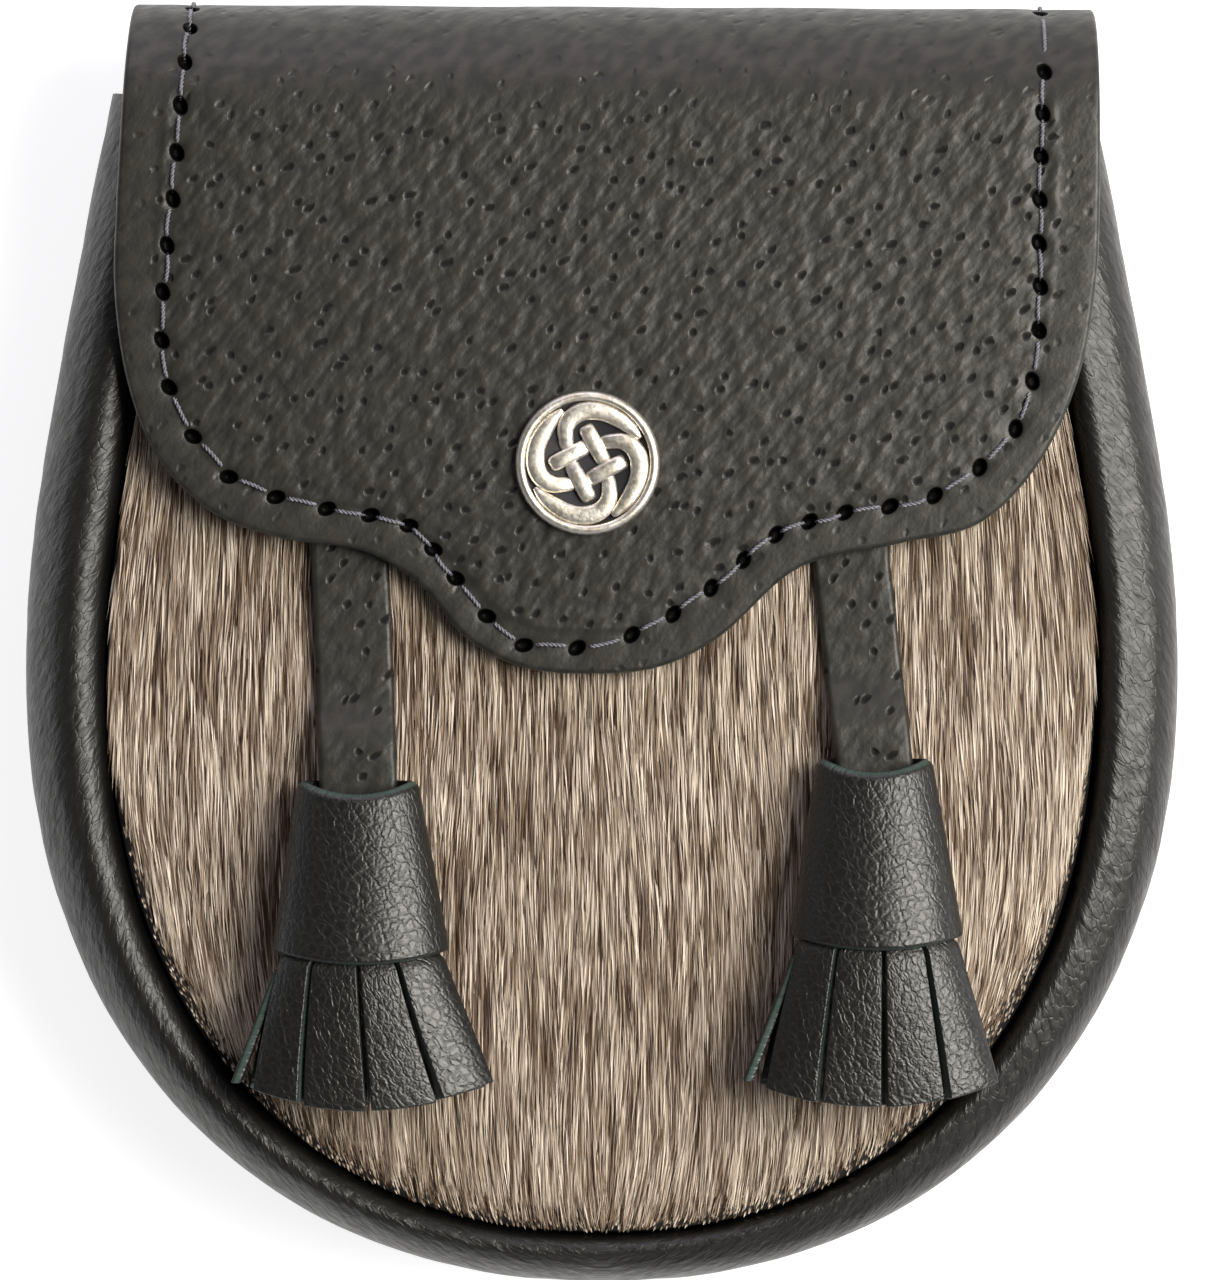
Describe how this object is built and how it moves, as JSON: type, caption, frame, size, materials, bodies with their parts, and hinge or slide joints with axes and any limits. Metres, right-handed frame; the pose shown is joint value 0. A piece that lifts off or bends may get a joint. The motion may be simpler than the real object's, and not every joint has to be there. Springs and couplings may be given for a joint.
{
  "type": "sporran pouch",
  "caption": "Leather belt pouch with a rolled gusset, fur front, stitched lobed flap, round knotwork stud and two strap-hung leather tassels.",
  "frame": {"origin": "centre of the bounding box in X and Y, on the pouch's back face", "axes": "+X to the right as the picture shows it, +Y up to the top fold, +Z out of the front"},
  "size_m": [0.1798, 0.1992, 0.0504],
  "materials": {
    "smooth_leather": "near-black smooth leather, half gloss, finely creased along the roll",
    "pigskin_leather": "charcoal pigskin, matt, with pores in groups and fine wrinkles",
    "grain_leather": "near-black pebbled leather, half gloss",
    "fur_hide": "short fur lying downwards, cream and grey hairs over brown",
    "waxed_thread": "dark grey-blue twisted waxed thread",
    "antique_silver": "cast white metal, polished high points and blackened recesses"
  },
  "bodies": {
    "root": {"back_panel": "smooth_leather", "gusset": "smooth_leather", "fur_panel": "fur_hide", "flap": "pigskin_leather", "stud_cap": "antique_silver", "snap_post": "antique_silver", "tassel_strap_left": "pigskin_leather", "tassel_strap_right": "pigskin_leather", "tassel_cone_left": "grain_leather", "tassel_cone_right": "grain_leather", "tassel_fringe_left": "grain_leather", "tassel_fringe_right": "grain_leather"}
  },
  "joints": []
}
